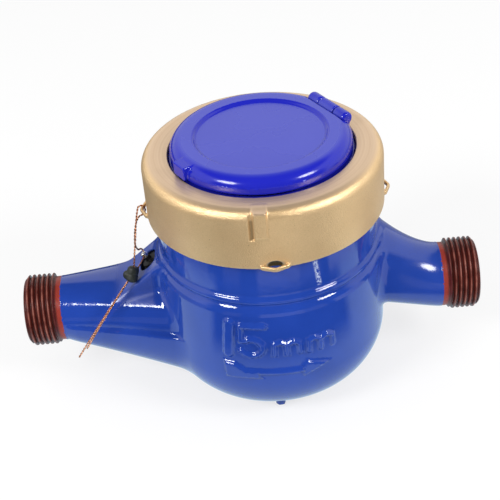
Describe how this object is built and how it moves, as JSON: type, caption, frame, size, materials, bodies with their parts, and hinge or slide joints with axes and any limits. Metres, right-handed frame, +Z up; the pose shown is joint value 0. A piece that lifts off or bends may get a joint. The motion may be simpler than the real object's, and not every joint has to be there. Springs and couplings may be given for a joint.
{
  "type": "water meter",
  "caption": "Vane-wheel water meter: bowl-shaped cast body with two threaded pipe ends, brass clamping collar, hinged lid over a pointer dial, sealed regulating screw.",
  "frame": {"origin": "middle of the flat base, on the register axis", "axes": "+X along the flow from the inlet to the outlet, +Z up along the register axis, +Y to the back"},
  "size_m": [0.165, 0.0882, 0.0996],
  "materials": {
    "body_enamel": "glossy enamel over a rough casting",
    "collar_brass": "blasted side, turned top",
    "lid_plastic": "moulded, semi-gloss",
    "steel": "bright",
    "glass": "clear",
    "white_plastic": "moulded",
    "dial_white": "printed",
    "gear_plastic": "moulded",
    "pointer_red": "moulded",
    "pointer_black": "moulded",
    "rubber": "moulded",
    "copper": "drawn copper wire",
    "bead": "crimped"
  },
  "bodies": {
    "meter": {"body": "body_enamel", "collar": "collar_brass", "lid_seat": "lid_plastic", "hinge_pin": "steel", "glass": "glass", "slip_ring": "white_plastic", "glass_gasket": "rubber", "gear_case": "white_plastic", "strainer": "white_plastic", "chamber": "white_plastic", "pivot": "steel", "register_base": "white_plastic", "register_top": "white_plastic", "dial": "dial_white", "regulator_seal": "rubber", "regulator_screw": "steel", "seal_wire": "copper", "seal_bead": "bead"},
    "lid": {"lid": "lid_plastic"},
    "impeller": {"impeller": "white_plastic"},
    "first_gear": {"first_gear": "gear_plastic"},
    "star": {"star_gear": "gear_plastic", "star": "pointer_red"},
    "pointer_1": {"pointer_gear_1": "gear_plastic", "pointer_1": "pointer_red"},
    "pointer_2": {"pointer_gear_2": "gear_plastic", "pointer_2": "pointer_red"},
    "pointer_3": {"pointer_gear_3": "gear_plastic", "pointer_3": "pointer_red"},
    "pointer_4": {"pointer_gear_4": "gear_plastic", "pointer_4": "pointer_red"},
    "pointer_5": {"pointer_gear_5": "gear_plastic", "pointer_5": "pointer_black"},
    "pointer_6": {"pointer_gear_6": "gear_plastic", "pointer_6": "pointer_black"},
    "pointer_7": {"pointer_gear_7": "gear_plastic", "pointer_7": "pointer_black"},
    "pointer_8": {"pointer_gear_8": "gear_plastic", "pointer_8": "pointer_black"},
    "idler_1": {"idler_1": "gear_plastic"},
    "idler_2": {"idler_2": "gear_plastic"},
    "idler_3": {"idler_3": "gear_plastic"},
    "idler_4": {"idler_4": "gear_plastic"},
    "idler_5": {"idler_5": "gear_plastic"},
    "idler_6": {"idler_6": "gear_plastic"},
    "idler_7": {"idler_7": "gear_plastic"}
  },
  "joints": [
    {"name": "lid_hinge", "type": "hinge", "parent": "meter", "child": "lid", "pos_m": [0.02511, 0.0145, 0.0974], "axis": [-0.5, 0.866, 0], "range_deg": [0, 115]},
    {"name": "impeller_spin", "type": "hinge", "parent": "meter", "child": "impeller", "pos_m": [0, 0, 0.04], "axis": [0, 0, 1], "continuous": true},
    {"name": "first_gear_spin", "type": "hinge", "parent": "meter", "child": "first_gear", "pos_m": [-0.00345, -0.00632, 0.072], "axis": [0, 0, 1], "continuous": true},
    {"name": "star_spin", "type": "hinge", "parent": "meter", "child": "star", "pos_m": [-0.01015, -0.00369, 0.072], "axis": [0, 0, 1], "continuous": true},
    {"name": "pointer_1_spin", "type": "hinge", "parent": "meter", "child": "pointer_1", "pos_m": [-0.01748, -0.00636, 0.072], "axis": [0, 0, 1], "continuous": true},
    {"name": "idler_1_spin", "type": "hinge", "parent": "meter", "child": "idler_1", "pos_m": [-0.01954, 0.00054, 0.072], "axis": [0, 0, 1], "continuous": true},
    {"name": "pointer_2_spin", "type": "hinge", "parent": "meter", "child": "pointer_2", "pos_m": [-0.01686, 0.00786, 0.072], "axis": [0, 0, 1], "continuous": true},
    {"name": "idler_2_spin", "type": "hinge", "parent": "meter", "child": "idler_2", "pos_m": [-0.01344, 0.0142, 0.072], "axis": [0, 0, 1], "continuous": true},
    {"name": "pointer_3_spin", "type": "hinge", "parent": "meter", "child": "pointer_3", "pos_m": [-0.00636, 0.01748, 0.072], "axis": [0, 0, 1], "continuous": true},
    {"name": "idler_3_spin", "type": "hinge", "parent": "meter", "child": "idler_3", "pos_m": [0.00054, 0.01954, 0.072], "axis": [0, 0, 1], "continuous": true},
    {"name": "pointer_4_spin", "type": "hinge", "parent": "meter", "child": "pointer_4", "pos_m": [0.00786, 0.01686, 0.072], "axis": [0, 0, 1], "continuous": true},
    {"name": "idler_4_spin", "type": "hinge", "parent": "meter", "child": "idler_4", "pos_m": [0.0142, 0.01344, 0.072], "axis": [0, 0, 1], "continuous": true},
    {"name": "pointer_5_spin", "type": "hinge", "parent": "meter", "child": "pointer_5", "pos_m": [0.01748, 0.00636, 0.072], "axis": [0, 0, 1], "continuous": true},
    {"name": "idler_5_spin", "type": "hinge", "parent": "meter", "child": "idler_5", "pos_m": [0.01954, -0.00054, 0.072], "axis": [0, 0, 1], "continuous": true},
    {"name": "pointer_6_spin", "type": "hinge", "parent": "meter", "child": "pointer_6", "pos_m": [0.01686, -0.00786, 0.072], "axis": [0, 0, 1], "continuous": true},
    {"name": "idler_6_spin", "type": "hinge", "parent": "meter", "child": "idler_6", "pos_m": [0.01344, -0.0142, 0.072], "axis": [0, 0, 1], "continuous": true},
    {"name": "pointer_7_spin", "type": "hinge", "parent": "meter", "child": "pointer_7", "pos_m": [0.00636, -0.01748, 0.072], "axis": [0, 0, 1], "continuous": true},
    {"name": "idler_7_spin", "type": "hinge", "parent": "meter", "child": "idler_7", "pos_m": [-0.00054, -0.01954, 0.072], "axis": [0, 0, 1], "continuous": true},
    {"name": "pointer_8_spin", "type": "hinge", "parent": "meter", "child": "pointer_8", "pos_m": [-0.00786, -0.01686, 0.072], "axis": [0, 0, 1], "continuous": true}
  ],
  "couplings": [
    {"joint": "first_gear_spin", "follows": "impeller_spin", "ratio": -0.33333},
    {"joint": "star_spin", "follows": "impeller_spin", "ratio": 0.11111},
    {"joint": "pointer_1_spin", "follows": "impeller_spin", "ratio": -0.033333},
    {"joint": "idler_1_spin", "follows": "impeller_spin", "ratio": 0.011111},
    {"joint": "pointer_2_spin", "follows": "impeller_spin", "ratio": -0.0033333},
    {"joint": "idler_2_spin", "follows": "impeller_spin", "ratio": 0.0011111},
    {"joint": "pointer_3_spin", "follows": "impeller_spin", "ratio": -0.00033333},
    {"joint": "idler_3_spin", "follows": "impeller_spin", "ratio": 0.00011111},
    {"joint": "pointer_4_spin", "follows": "impeller_spin", "ratio": -0.000033333},
    {"joint": "idler_4_spin", "follows": "impeller_spin", "ratio": 0.000011111},
    {"joint": "pointer_5_spin", "follows": "impeller_spin", "ratio": -0.0000033333},
    {"joint": "idler_5_spin", "follows": "impeller_spin", "ratio": 0.0000011111},
    {"joint": "pointer_6_spin", "follows": "impeller_spin", "ratio": -0.00000033333},
    {"joint": "idler_6_spin", "follows": "impeller_spin", "ratio": 0.00000011111},
    {"joint": "pointer_7_spin", "follows": "impeller_spin", "ratio": -0.000000033333},
    {"joint": "idler_7_spin", "follows": "impeller_spin", "ratio": 0.000000011111},
    {"joint": "pointer_8_spin", "follows": "impeller_spin", "ratio": -0.0000000033333}
  ]
}
